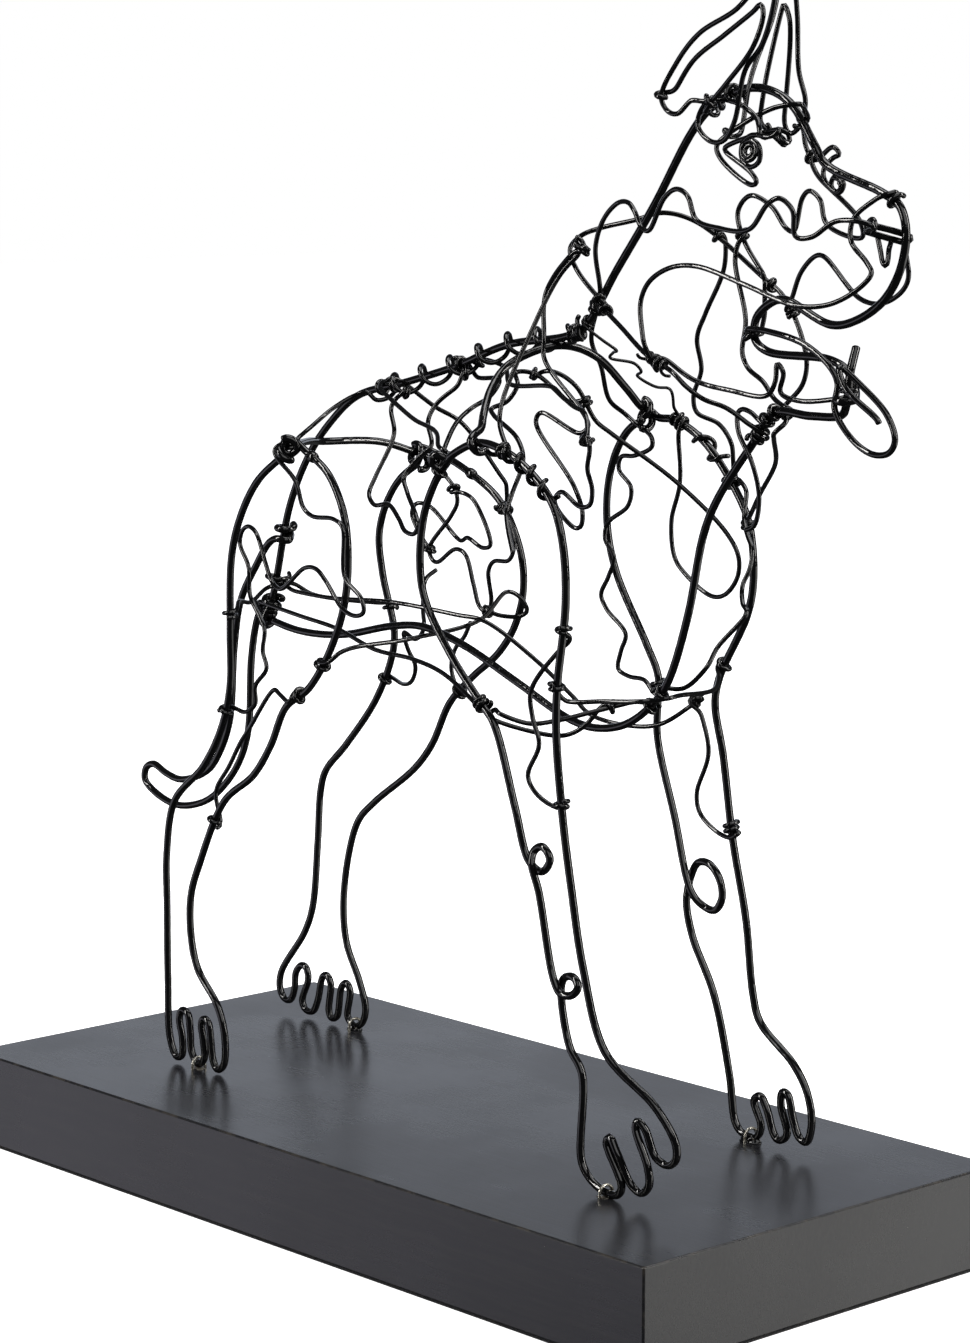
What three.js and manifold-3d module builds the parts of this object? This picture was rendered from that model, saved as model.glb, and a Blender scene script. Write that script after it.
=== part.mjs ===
// A dog drawn in bent black wire, stapled by its feet to a black plinth.
// Lengths are in millimetres and +Z is up. The origin is under the middle of the plinth.
// The nose points along +X, and the dog's left side is towards +Y.
import * as THREE from "three";
import { mergeVertices } from "three/addons/utils/BufferGeometryUtils.js";
import Module from "manifold-3d";

// Driving dimensions
const FIGURE_HEIGHT = 328; // ear tips above the plinth's top
const FRAME_WIRE = 2.0; // diameter of the wire of the outline, hoops, legs and tail
const SCROLL_WIRE = 1.2; // diameter of the wire of the ties and scrolls
const MOUTH_WIRE = 1.5; // diameter of the wire of the tongue and the nose
const FINE_WIRE = 0.8; // diameter of the thinnest curl and of the staples
const PLINTH_LENGTH = 300;
const PLINTH_WIDTH = 140;
const PLINTH_HEIGHT = 28.7;
const PLINTH_EDGE = 0.8; // width of the softened edge
const FELT_THICKNESS = 1;
const FELT_INSET = 1.5; // how far the felt stops short of the plinth's edge
const STAPLE_DEPTH = 6; // how deep a staple's legs go into the plinth
const CLEARANCE = 0.3; // gap left between pieces that touch
const COIL_PLAY = 1.2; // how loosely the coil is wound round the back

// How finely the round and bent forms are faceted
const FRAME_SIDES = 6;
const SCROLL_SIDES = 4;
const SAG = 0.55; // how far a straight step may stand off its curve
const LONGEST_STEP = 24;
const SAMPLE = 0.8; // spacing of the trial points on a curve
const TURN_STEPS = 6; // steps in one turn of a coil

// The routes below are drawn for a figure this tall, standing on z = 0.
const DRAWN_HEIGHT = 328;
const figureScale = FIGURE_HEIGHT / DRAWN_HEIGHT;
const plinthUnderside = FELT_THICKNESS + CLEARANCE;
const plinthTop = plinthUnderside + PLINTH_HEIGHT;

// Materials
const enamel = () => new THREE.MeshStandardMaterial({ color: 0x0b0b0c, roughness: 0.3, metalness: 0.1 });
const steel = () => new THREE.MeshStandardMaterial({ color: 0x9a9a98, roughness: 0.35, metalness: 0.9 });
const paint = () => new THREE.MeshStandardMaterial({ color: 0x24252a, roughness: 0.45, metalness: 0 });
const felt = () => new THREE.MeshStandardMaterial({ color: 0x0c0c0c, roughness: 1, metalness: 0 });

const wasm = await Module();
wasm.setup();
const sculpture = new THREE.Group();

function addMesh(name, geometry, material) {
  const mesh = new THREE.Mesh(geometry, material);
  mesh.name = name;
  sculpture.add(mesh);
  return mesh;
}

// Solids joined and cut
function solidOf(geometry) {
  const bare = geometry.clone();
  bare.deleteAttribute("normal");
  bare.deleteAttribute("uv");
  const merged = mergeVertices(bare, 1e-4);
  return new wasm.Manifold(
    new wasm.Mesh({
      numProp: 3,
      vertProperties: merged.attributes.position.array,
      triVerts: new Uint32Array(merged.index.array),
    }),
  );
}

function geometryOf(solid) {
  const mesh = solid.getMesh();
  const geometry = new THREE.BufferGeometry();
  geometry.setAttribute("position", new THREE.BufferAttribute(mesh.vertProperties, 3));
  geometry.setIndex(new THREE.BufferAttribute(mesh.triVerts, 1));
  geometry.computeVertexNormals();
  return geometry;
}

// Wires
// A faceted section has as much metal in it as the round wire, so its corners stand a little outside.
function sectionReach(diameter, sides) {
  const step = (2 * Math.PI) / sides;
  return (diameter / 2) * Math.sqrt(step / Math.sin(step));
}

// Route points are [along, up] on the wire's own side plane, or [along, sideways, up].
// The side plane may drift from one end of the wire to the other.
function placeRoute(points, sideStart, sideEnd) {
  const flat = points.map((p) => new THREE.Vector2(p[0], p[p.length - 1]));
  const travelled = [0];
  for (let i = 1; i < flat.length; i += 1) {
    travelled.push(travelled[i - 1] + flat[i].distanceTo(flat[i - 1]));
  }
  const whole = travelled[flat.length - 1];
  return points.map((p, i) => {
    const drift = THREE.MathUtils.lerp(sideStart, sideEnd, travelled[i] / whole);
    const side = p.length === 3 ? p[1] : drift;
    const placed = new THREE.Vector3(p[0], side, p[p.length - 1]).multiplyScalar(figureScale);
    placed.z += plinthTop;
    return placed;
  });
}

// Steps are as long as the bend allows, so straight stretches take few of them.
function stepsAlong(points) {
  const curve = new THREE.CatmullRomCurve3(points, false, "centripetal");
  const trial = curve.getSpacedPoints(Math.max(4, Math.ceil(curve.getLength() / SAMPLE)));
  const steps = [trial[0]];
  const chord = new THREE.Line3();
  const foot = new THREE.Vector3();
  let from = 0;
  for (let to = 2; to < trial.length; to += 1) {
    chord.set(trial[from], trial[to]);
    const off = trial.slice(from + 1, to).map((p) => chord.closestPointToPoint(p, true, foot).distanceTo(p));
    if (Math.max(...off) > SAG || chord.distance() > LONGEST_STEP) {
      from = to - 1;
      steps.push(trial[from]);
    }
  }
  steps.push(trial[trial.length - 1]);
  return steps;
}

// Each wire already laid is kept as its straight stretches, so that the next ones pass beside it.
const laid = [];
const PASSES = 400;
const SEARCH = 7; // how far away a laid wire still counts as a neighbour
const SLACK = 0.01;
const OWN_NEIGHBOUR = 5; // in wire radii, the length along a wire within which it may touch itself

function pushedApart(own, other, need) {
  const here = new THREE.Vector3();
  const there = new THREE.Vector3();
  const gap = Math.sqrt(own.distanceSqToLine3(other, here, there));
  if (gap >= need) return null;
  const away = here.clone().sub(there);
  if (gap < SLACK) {
    away.crossVectors(own.delta(new THREE.Vector3()), other.delta(new THREE.Vector3()));
    if (away.y * (here.y <= 0 ? -1 : 1) < 0) away.negate();
    if (away.length() < SLACK) away.set(0, here.y <= 0 ? -1 : 1, 0);
  }
  const share = here.distanceTo(own.start) / Math.max(own.distance(), SLACK);
  return { away: away.setLength(need - gap + SLACK), share };
}

function nudge(steps, i, share, away) {
  const weight = (1 - share) ** 2 + share ** 2;
  steps[i].addScaledVector(away, (1 - share) / weight);
  steps[i + 1].addScaledVector(away, share / weight);
}

function layClear(steps, reach) {
  const floor = plinthTop + CLEARANCE + reach;
  const stretch = (i) => new THREE.Line3(steps[i], steps[i + 1]);
  const middle = (line) => line.getCenter(new THREE.Vector3());
  const pairs = [];
  let travelled = 0;
  const starts = steps.map((p, i) => (travelled += i ? p.distanceTo(steps[i - 1]) : 0));
  for (let i = 0; i + 1 < steps.length; i += 1) {
    const own = stretch(i);
    for (const other of laid) {
      const room = SEARCH + (own.distance() + other.line.distance()) / 2;
      if (middle(own).distanceTo(middle(other.line)) < room) pairs.push({ i, other });
    }
    for (let j = i + 2; j + 1 < steps.length; j += 1) {
      const between = starts[j] - starts[i + 1];
      if (between > OWN_NEIGHBOUR * reach) pairs.push({ i, j });
    }
  }
  for (let pass = 0; pass < PASSES; pass += 1) {
    let moved = false;
    for (const { i, j, other } of pairs) {
      const own = stretch(i);
      const line = other ? other.line : stretch(j);
      const need = reach + (other ? other.reach : reach) + CLEARANCE;
      const push = pushedApart(own, line, need);
      if (!push) continue;
      moved = true;
      if (!other) push.away.divideScalar(2);
      nudge(steps, i, push.share, push.away);
      if (!other) {
        const back = pushedApart(line, own, need);
        if (back) nudge(steps, j, back.share, back.away);
      }
    }
    for (const p of steps) p.z = Math.max(p.z, floor);
    if (!moved) break;
  }
  return steps;
}

// The curve that a section follows from one step to the next.
class SteppedCurve extends THREE.Curve {
  constructor(steps) {
    super();
    this.steps = steps;
  }
  index(t) {
    return Math.round(t * (this.steps.length - 1));
  }
  getPoint(t, target = new THREE.Vector3()) {
    return target.copy(this.steps[this.index(t)]);
  }
  getPointAt(t, target) {
    return this.getPoint(t, target);
  }
  getTangentAt(t, target = new THREE.Vector3()) {
    const i = this.index(t);
    const before = this.steps[Math.max(i - 1, 0)];
    const after = this.steps[Math.min(i + 1, this.steps.length - 1)];
    const here = this.steps[i];
    const arriving = here.clone().sub(before).normalize();
    const leaving = after.clone().sub(here).normalize();
    return target.copy(arriving.add(leaving)).normalize();
  }
}

function wireGeometry(steps, reach, sides) {
  const section = new THREE.Shape();
  for (let k = 0; k < sides; k += 1) {
    const turn = (2 * Math.PI * k) / sides;
    const at = [reach * Math.cos(turn), reach * Math.sin(turn)];
    if (k) section.lineTo(...at);
    else section.moveTo(...at);
  }
  return new THREE.ExtrudeGeometry(section, {
    steps: steps.length - 1,
    extrudePath: new SteppedCurve(steps),
  });
}

function addWire(name, diameter, points) {
  const sides = diameter >= FRAME_WIRE ? FRAME_SIDES : SCROLL_SIDES;
  const reach = sectionReach(diameter, sides);
  const steps = layClear(stepsAlong(points), reach);
  for (let i = 0; i + 1 < steps.length; i += 1) {
    laid.push({ line: new THREE.Line3(steps[i], steps[i + 1]), reach });
  }
  addMesh(name, wireGeometry(steps, reach, sides), enamel());
  return steps;
}

function wire(name, diameter, points, sideStart = 0, sideEnd = sideStart) {
  return addWire(name, diameter, placeRoute(points, sideStart, sideEnd));
}

// A flat or rising spiral about a line across the dog, such as an eye.
function spiral(centre, radii, sides, turns, startDegrees, sense) {
  const count = Math.ceil(turns * TURN_STEPS);
  return Array.from({ length: count + 1 }, (_, k) => {
    const share = k / count;
    const radius = THREE.MathUtils.lerp(radii[0], radii[1], share);
    const angle = THREE.MathUtils.degToRad(startDegrees + sense * 360 * turns * share);
    const side = THREE.MathUtils.lerp(sides[0], sides[1], share);
    return [centre[0] + radius * Math.cos(angle), side, centre[1] + radius * Math.sin(angle)];
  });
}

// The outline, one long wire from the jaw over the head and along the back.
const spine = wire("head_and_spine_wire", FRAME_WIRE, [
  [156, 220], [153, 225.5], [148, 228.5], [138, 229.5], [124, 230], [119, 233], [119, 238],
  [122, 241.5], [128, 244], [133, 243], [139, 240], [148, 238], [158, 241], [165, 246], [169, 252],
  [171, 259], [171, 264], [169, 269], [165.5, 271.5], [161, 273], [152, 276], [144, 279], [140.5, 282],
  [138.5, 285.5], [135.5, 290], [130, 295.5], [123, 298.5], [115, 299], [107, 296.5], [99, 292],
  [94, 286.5], [84, 272], [68, 252], [60, 241], [57, 237], [53, 233], [48, 231], [38, 230], [21, 227],
  [0, 220], [-23, 214], [-44, 209], [-57, 200], [-65, 192], [-75, 176], [-80, 161], [-84, 146],
  [-86, 140],
]);

// The breast and belly, from the chin back to the tail.
wire("chest_and_belly_wire", FRAME_WIRE, [
  [155, 233], [153.5, 227], [154, 222], [154.5, 219], [151.5, 215.5], [147, 214], [137, 214], [126, 214],
  [122.5, 210.5], [119, 205], [113, 198], [104, 187], [100.5, 179], [98, 168], [94.5, 155], [91, 145],
  [86, 135], [81, 130], [73, 124.5], [63, 121.5], [52, 121.5], [41, 125], [25, 131], [9, 137], [-5, 141],
  [-19, 142.5], [-34, 140], [-53, 136], [-73, 136], [-91, 140],
]);

// Each leg is one wire: a hoop at the shoulder or hip, two strands down, and the toes.
const rightFrontLeg = wire("right_front_leg_wire", FRAME_WIRE, [
  [30, 194], [24.5, 184], [22, 173], [22, 165], [24, 157], [32, 146], [43, 134], [52, 126.5], [56, 118],
  [62, 102], [66, 91], [69, 87.5], [73, 87], [76, 90], [73, 93.5], [70, 92.5], [69, 89.5],
  [72, -34.2, 83.3], [73.2, -34.2, 78], [76.3, -34.6, 67.9], [78.8, -35.2, 59.6], [81.2, -35.6, 55.1],
  [84.1, -35.2, 53.8], [87.3, -34.6, 55.1], [88, -34.2, 57.4], [85.6, -33.8, 59.2], [81.7, -33.2, 58.3],
  [79.8, -32.8, 55.9], [79.9, -32.6, 52.8], [80.7, -32.8, 49.2], [82.6, -33, 41.1], [84.9, -33, 37],
  [88.1, -33, 33.6], [88.7, -33, 27.3], [89, 9.5], [91, 5.5], [95, 2.6], [98.5, 1.4], [103, 1.4],
  [105.3, 4], [103, 9], [99.2, 15], [100, 17.3], [102, 16], [104.5, 10.5], [107.2, -32.5, 5],
  [110.6, -32, 3.4], [113.8, -32, 6.5], [112.6, -31.8, 12], [107.8, -31.2, 19.5], [107.6, -30.8, 22.6],
  [109.6, -30.4, 22], [111, -30, 18],
  [113.6, -29.4, 13.5], [117, -29, 12], [120.4, -29, 13.6], [121.4, -29.2, 17.2], [119, -29.8, 22.5],
  [113.5, -31, 29], [105, -32.6, 35], [98.5, -33.6, 40], [95.5, 47], [88, 70], [85, 86], [82.5, 97],
  [82, 106], [80, 120], [79, 132], [81, 147], [83, 163], [82, 177], [78, 188], [71, 195], [60, 201],
  [48, 203], [38.5, 199.5], [34, 196.5],
], -33, -35);

const leftFrontLeg = wire("left_front_leg_wire", FRAME_WIRE, [
  [45, 206], [39, 204], [34, 200], [29, 191], [27, 180], [28, 169], [32, 158], [41, 144], [48, 133],
  [49, 127], [48, 120], [48.5, 113], [54, 97], [60.5, 79], [63, 72], [67, 66.5], [72, 65.5], [75, 70],
  [73.5, 75.5], [69, 79], [64, 78], [61, 74], [60.5, 68], [62, 59], [65, 53], [71, 43], [74, 33],
  [78, 20], [80, 7], [82, 2.8], [85.5, 1.4], [89, 1.6], [91, 4.5], [90, 8.5], [88, 12], [90, 14.2],
  [92.2, 13], [94, 7.5], [97.5, 2.6], [101, 4.6], [100.2, 9.5], [98.2, 14.5], [99.6, 17.4],
  [101.8, 15.8], [103.2, 10], [105, 5.6], [108.2, 4], [110.2, 8.5], [109.6, 15.5], [105, 24],
  [96, 30.5], [89.5, 36], [87.2, 41.5], [85, 59], [81, 74], [77, 92], [74, 110], [70.5, 123], [71, 131],
  [79, 145], [84, 157], [84.5, 168], [82, 180], [75, 190], [65, 200], [55.5, 205], [49, 206.5],
], 35, 37);

const rightHindLeg = wire("right_hind_leg_wire", FRAME_WIRE, [
  [-38, 194], [-50, 186], [-58, 176], [-63, 165], [-65, 150], [-65, 137], [-65, 126], [-67, 116],
  [-71, 107], [-79, 96], [-88, 88.5], [-94, 83], [-97, 73], [-99, 60], [-98.5, 45], [-99, 20],
  [-98.6, 8.5], [-97, 4], [-94.6, 1.6], [-92.2, 3.2], [-92.2, 8], [-93.8, 13.5], [-92.6, 17], [-90, 17],
  [-88.4, 13.5], [-88.6, 7.5], [-87, 3.2], [-84.4, 1.4], [-81.8, 3.4], [-81.6, 8], [-83.2, 13],
  [-82.2, 16.2], [-80, 16], [-78.8, 11.5], [-78, 5], [-75.6, 1.4], [-72.8, 2.6], [-71.6, 7],
  [-72, 13.5], [-75, 21], [-81.5, 27], [-86, 33], [-88.5, 42], [-88.5, 53], [-86, 61], [-80, 71],
  [-75, 80], [-71.5, 86], [-62, 92], [-53, 100.5], [-47, 110], [-43, 117.5], [-34, 123], [-26, 131.5],
  [-20, 141], [-15.5, 152], [-14, 164], [-16, 178], [-24, 190], [-34, 195],
], -33, -29);

const leftHindLeg = wire("left_hind_leg_wire", FRAME_WIRE, [
  [-54, 187], [-63, 182], [-71, 173], [-75, 162], [-74, 152], [-70, 140], [-68, 130], [-71, 120],
  [-79, 107], [-90, 95], [-101, 85], [-104.5, 79], [-105, 70], [-107, 57], [-108.5, 42], [-112, 31],
  [-121, 20], [-126, 13], [-127, 8], [-125.4, 4.6], [-122, 4], [-119.6, 7], [-119.4, 12], [-117, 16.2],
  [-114, 16.8], [-112.4, 14], [-113.4, 9.5], [-115.6, 5.5], [-114.4, 2.6], [-111, 2], [-108.4, 4.5],
  [-106.8, 11], [-104.4, 15.6], [-101.8, 14.8], [-101.2, 10], [-102.4, 4.6], [-101, 1.8], [-98.4, 2.6],
  [-97.2, 7.5], [-96.2, 12.5], [-93.8, 14.8], [-91.8, 13], [-92.4, 8], [-93, 3.6], [-90.5, 1.5],
  [-86.4, 2.4], [-84.2, 7], [-86, 14], [-91, 22], [-94.5, 31], [-95, 44], [-92, 59], [-87, 70], [-77, 78],
  [-65, 86], [-54, 96], [-46, 110], [-38, 118.5], [-27, 126], [-17, 136], [-12, 147], [-11.5, 157],
  [-15, 167], [-22, 176.5], [-33, 183], [-43, 187], [-49, 188.5],
], 35, 38);

wire("pelvis_wire", FRAME_WIRE, [
  [-37, -32, 196], [-46, -20, 196], [-55, -8, 195.5], [-60, 0, 195.5], [-59, 7, 195], [-58, 17, 194],
  [-56, 27, 191.5], [-55, 34, 189],
]);
wire("shoulder_wire", FRAME_WIRE, [
  [47, -33, 205], [43, -28, 208.5], [39, -24, 213], [36, -16, 220], [36, -12, 223], [39, -5, 226.5],
  [42, 0, 228], [44.5, 7, 227], [46, 14, 223.5], [46, 21, 218], [44.5, 28, 212], [43, 34, 208],
]);

// The tail, a long hairpin hooked over the rump at both ends.
wire("tail_wire", FRAME_WIRE, [
  [-73, -3, 163], [-78, -4.5, 163.5], [-83, -4, 160], [-92, 151], [-98, 142], [-101, 132], [-103, 116],
  [-105, 104], [-108, 97], [-112, 91], [-117, 86], [-124, 83], [-131, 81], [-137, 81], [-146, 84],
  [-150.5, 82.5], [-151.5, 78], [-146, 74.5], [-136, 72], [-128, 73], [-119, 76], [-111, 82],
  [-105.5, 88], [-102, 94], [-99.5, 102], [-99, 112], [-98.5, 124], [-96, 136], [-91, 143.5],
], -3, 3);

// The coil wound loosely round the back starts at the right hip.
function coilRound(steps, fromX, toX, turns, radius, startDegrees) {
  const heights = (x) => {
    const i = steps.findIndex((p, k) => p.x >= x && steps[k + 1].x <= x);
    const span = steps[i].x - steps[i + 1].x;
    return THREE.MathUtils.lerp(steps[i].z, steps[i + 1].z, span ? (steps[i].x - x) / span : 0);
  };
  const count = turns * TURN_STEPS;
  return Array.from({ length: count + 1 }, (_, k) => {
    const x = THREE.MathUtils.lerp(fromX, toX, k / count) * figureScale;
    const angle = THREE.MathUtils.degToRad(startDegrees + (360 * k) / TURN_STEPS);
    return new THREE.Vector3(x, radius * Math.cos(angle), heights(x) + radius * Math.sin(angle));
  });
}
const coilRadius = (FRAME_WIRE + SCROLL_WIRE) / 2 + COIL_PLAY;
addWire("spine_coil_wire", SCROLL_WIRE, [
  ...placeRoute([[-36, -32, 197], [-40, -23, 200], [-42, -13, 205], [-40, -6, 209]], 0, 0),
  ...coilRound(spine, -36, 50, 7, coilRadius, 180),
]);

// Ties that run across or along the body
wire("right_side_line", SCROLL_WIRE, [
  [-90, -2, 143], [-78, -3, 141.5], [-57, -6, 140.5], [-35, -11, 139], [-21, -14, 136.5],
  [-7, -17, 136.5], [14, -22, 136], [29, -26, 133], [44, -30, 128],
]);
wire("left_side_line", SCROLL_WIRE, [
  [-80, 2, 147], [-67, 3, 146], [-42, 7, 147], [-18, 12, 145], [-5, 15, 144], [9, 19, 136], [21, 23, 127],
  [29, 26, 119], [38, 28, 117], [50, 31, 117], [59, 33, 121], [64, 34, 125],
]);
wire("rump_tie", SCROLL_WIRE, [
  [-63, -32, 145], [-68, -27, 147], [-72, -20, 145.5], [-80, -8, 147], [-83, 0, 149], [-78, 5, 146.5],
  [-74, 15, 144], [-71, 26, 142], [-69, 34, 141],
]);
wire("hip_cross_tie", SCROLL_WIRE, [
  [-22, -32, 132], [-19, -29, 135], [-17, -20, 137.5], [-15, -9, 139.5], [-13, 0, 142], [-11, 8, 144],
  [-9, 17, 146], [-8, 23, 149], [-8, 27, 151], [-7, 31, 150], [-8, 35, 146], [-10, 37.5, 143.5],
  [-14, 35, 142], [-19, 32, 143],
]);
wire("breast_tie", SCROLL_WIRE, [
  [79, -34, 138], [77, -30, 134.5], [79, -22, 133], [81, -12, 133], [83, -4, 132], [88, 0, 133],
  [86, 8, 133], [83, 18, 132], [81, 25, 132], [77, 31, 134], [73, 35, 136],
]);
wire("belly_sling", SCROLL_WIRE, [
  [73, -10, 132], [71, -14, 126], [66, -17, 122], [59, -21, 122], [52, -27, 124], [48, -31, 126.5],
  [52, -33, 128.5], [59, -30, 126.5], [63, -26, 125.5], [70, -19, 128], [76, -8, 130], [78, -2, 131.5],
]);

// Scrolls of the breast and the front legs
wire("left_elbow_scroll", SCROLL_WIRE, [
  [80, 35, 191], [85, 33, 188], [86, 32, 184], [88, 29, 179], [94, 26, 174], [96, 24, 169],
  [95, 22, 164.5], [97, 19, 159.5], [101, 17, 156.5], [98, 15, 152], [95, 12, 147], [95, 9, 143],
  [92, 6, 137.5], [87, 3, 133],
]);
wire("throat_scroll", SCROLL_WIRE, [
  [122, 212.5], [117, 214.5], [114, 213.5], [115, 209], [119, 203.5], [121.5, 197], [122, 190],
  [120, 183], [117, 182],
], -1);
wire("throat_loop", SCROLL_WIRE, [
  [127, 4, 214], [130, 1, 212], [127.5, -1.5, 208.5], [124, 3, 206], [119, 9, 201.5], [112, 15, 197],
  [103, 21, 191], [94, 26, 186], [84, 33, 180],
]);
wire("left_chest_scroll", SCROLL_WIRE, [
  [56, 35, 204], [57, 35, 196], [57, 35, 188], [54, 35, 179], [54, 35, 171], [56, 35, 165],
  [63, 35, 160], [71, 35, 156.5], [76, 35, 158], [80.5, 35, 164], [81, 34, 170], [77, 33, 176],
  [72, 30, 182], [66, 27, 188], [58, 23, 194], [50, 19, 200.5], [43, 15.5, 205.5], [42, 12, 212],
  [39, 8, 218], [31, 5, 221],
]);
wire("left_shoulder_scroll", SCROLL_WIRE, [
  [55, 4, 240], [50, 8, 235], [43, 13, 229], [42, 17, 224], [38, 23, 216], [36, 28, 210], [38, 33, 206],
  [45, 34, 202], [47, 34, 198.5], [41, 34, 195], [34, 34, 194], [33, 34, 190.5], [38, 34, 186],
  [37, 34, 180], [29, 34, 175], [28, 34, 170.5], [32, 34, 165], [31, 34, 160], [26, 34, 152.5],
  [31, 34, 146.5], [36.5, 34, 142], [34, 34, 136], [33.5, 34, 131.5], [38, 34, 130], [44, 34, 130],
  [49, 34, 126.5], [54, 34, 126],
]);
wire("right_foreleg_scroll", SCROLL_WIRE, [
  [85, 153], [80, 150], [73, 142.5], [68.5, 136], [69, 130], [72, 122.5], [69.5, 117], [67.5, 112.5],
  [71, 108], [78, 105], [84, 106],
], -34);
wire("left_foreleg_scroll", SCROLL_WIRE, [
  [66, 126], [68, 120], [70.5, 112.5], [68.5, 106], [66, 100], [67, 94], [72, 90], [79, 88], [83, 90],
], 34);

// Scrolls of the neck and the shoulder
wire("right_collar_wire", SCROLL_WIRE, [
  [62, -2, 240], [69, -4, 237], [78, -8, 233.5], [85, -10, 230], [97, -15, 226.5], [107, -18, 224],
  [112, -15, 218.5], [115, -9, 216], [119, -5, 212.5], [123, -3, 209],
]);
wire("right_mane_line", SCROLL_WIRE, [
  [58, -3, 256], [53, -7, 250], [50, -13, 239], [47.5, -18, 227], [46, -23, 216], [47, -26, 209.5],
  [52, -29, 203.5], [57, -31, 200],
]);
wire("right_mane_scroll", SCROLL_WIRE, [
  [57, -5, 255], [50, -6, 249.5], [45, -7, 242], [47, -9, 234], [48, -10, 225], [54, -11, 220],
  [63, -12, 213], [68, -12, 208], [66, -13, 205.5], [59, -14, 208], [52, -15, 210.5],
  [50.5, -15.5, 208], [56, -16, 203], [66, -17, 193.5], [73, -19, 184], [71.5, -19, 180],
  [67.5, -20, 182], [64, -21, 187], [67, -21.5, 190], [73, -22, 187], [79, -22.5, 187], [81, -23, 191],
  [80, -24, 196.5], [82, -25, 202.5], [80.5, -25, 207],
]);
wire("right_shoulder_tie", SCROLL_WIRE, [
  [3, 4, 220.5], [5, 3, 217.5], [13, 1, 217], [21, -2, 217], [20.5, -4, 213.5], [18, -9, 210],
  [19.5, -16, 207], [23, -22, 204], [27, -29, 199], [31, -34, 196],
]);
wire("right_shoulder_scroll", SCROLL_WIRE, [
  [37, 10, 211], [33, 7, 215], [30, 4, 219], [25.5, 0, 219.5], [29.5, -3, 216], [28, -5, 212],
  [25, -9, 209.5], [33, -12, 206.5], [42, -14.5, 202.5], [47, -17, 197], [47.5, -20, 190.5],
  [47, -23, 184.5], [52, -27, 178], [58, -31, 173],
]);
wire("back_curl", SCROLL_WIRE, [
  [6, 5, 222.5], [17, 3, 221], [28, -3, 216.5], [44, -8, 217], [54, -11, 217], [61, -13, 213.5],
  [70, -16, 212], [75, -19, 208], [77, -22, 204],
]);
wire("withers_curl", FINE_WIRE, [
  [59, 2, 230], [61, 5, 227.5], [58, 8, 227], [52.5, 11, 224.5], [56, 16, 223.5], [57.5, 18.5, 221],
  [53, 21.5, 219], [55.5, 25.5, 216], [58, 29, 215.5], [57, 32, 212.5], [54, 35, 209],
]);

// Scrolls of the hips, the flank and the hind legs
wire("right_back_tie", SCROLL_WIRE, [
  [-32, -3, 213], [-20, -7, 210], [-5, -14, 206], [9, -20, 205], [20, -25, 203], [27, -31, 199.5],
]);
wire("left_back_tie", SCROLL_WIRE, [
  [-26, 1, 214], [-22, 6, 209], [-16, 15, 203], [-15, 22, 196], [-15, 28, 188.5], [-14, 33, 183],
]);
wire("right_flank_scroll", SCROLL_WIRE, [
  [-22, -2, 213], [-24, -4, 207], [-19, -7, 200.5], [-19, -11, 192], [-20, -16, 183.5], [-16, -18, 180],
  [-8, -20, 181], [-1, -22, 179], [5, -25, 175], [11, -26, 174], [14, -27, 177], [5, -22, 183],
  [-1, -19, 189], [1, -16, 194], [4, -13, 198], [-1, -10, 204], [-1, -7, 209], [5, -2, 215.5],
]);
wire("left_hip_scroll", SCROLL_WIRE, [
  [-46, 186], [-38, 180.5], [-36, 175], [-44, 166], [-49, 159.5], [-46, 156], [-42, 158.5], [-37, 161],
  [-32, 159.5], [-29, 152], [-26, 144.5], [-22, 143], [-20.5, 147], [-22, 155], [-20, 158.5],
  [-13, 159.5], [-10.5, 165], [-14, 172], [-16, 177],
], 33);
wire("left_hip_loop", SCROLL_WIRE, [
  [-36, 179], [-29, 177], [-24, 169.5], [-21, 163.5], [-25, 162.5], [-30, 165], [-37, 163.5], [-43, 168],
  [-49, 172.5], [-55, 173.5], [-57, 170], [-54, 165],
], 33);
wire("right_hip_scroll", SCROLL_WIRE, [
  [-39, -34, 198], [-39, -33, 193.5], [-33, -33, 187.5], [-30.5, -33, 180], [-27, -33, 177],
  [-18, -33, 177], [-12, -33, 174.5], [-12, -33, 167], [-11, -33, 160], [-4, -33, 155],
  [-3, -33, 150.5], [-9, -33, 149.5], [-17, -32, 153.5], [-25, -30.5, 160], [-32, -29.5, 161],
  [-40, -29, 157], [-46, -28.5, 153], [-52, -27.5, 155.5], [-56, -27, 163], [-61, -26, 169],
  [-67, -25, 169.5], [-69.5, -25, 165], [-65, -25.5, 159], [-64, -26, 151], [-61, -26.5, 146],
  [-55.5, -27, 140.5], [-56, -27.5, 134.5], [-53.5, -28, 128], [-57.5, -29, 123], [-57.5, -29, 117.5],
  [-61, -30, 114.5], [-69, -31, 116],
]);
wire("left_thigh_scroll", SCROLL_WIRE, [
  [-33, 22, 156], [-34, 19, 154], [-30.5, 14, 148], [-25, 9, 144], [-21, 6, 141], [-25, 8, 137.5],
  [-31, 10.5, 136], [-38, 13, 137], [-40, 15.5, 133], [-41, 20, 127], [-46, 24, 121.5], [-53, 28, 118],
  [-63, 32, 117], [-73, 36, 117.5],
]);
wire("right_hock_scroll", SCROLL_WIRE, [
  [-38, -31, 124], [-37, -31, 120.5], [-42, -31, 121], [-47, -30, 123], [-52, -30, 118], [-58, -30, 111],
  [-64, -29, 106], [-67.5, -29, 100], [-73, -29, 94], [-78.5, -28, 87], [-77, -28, 80.5],
]);

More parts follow.
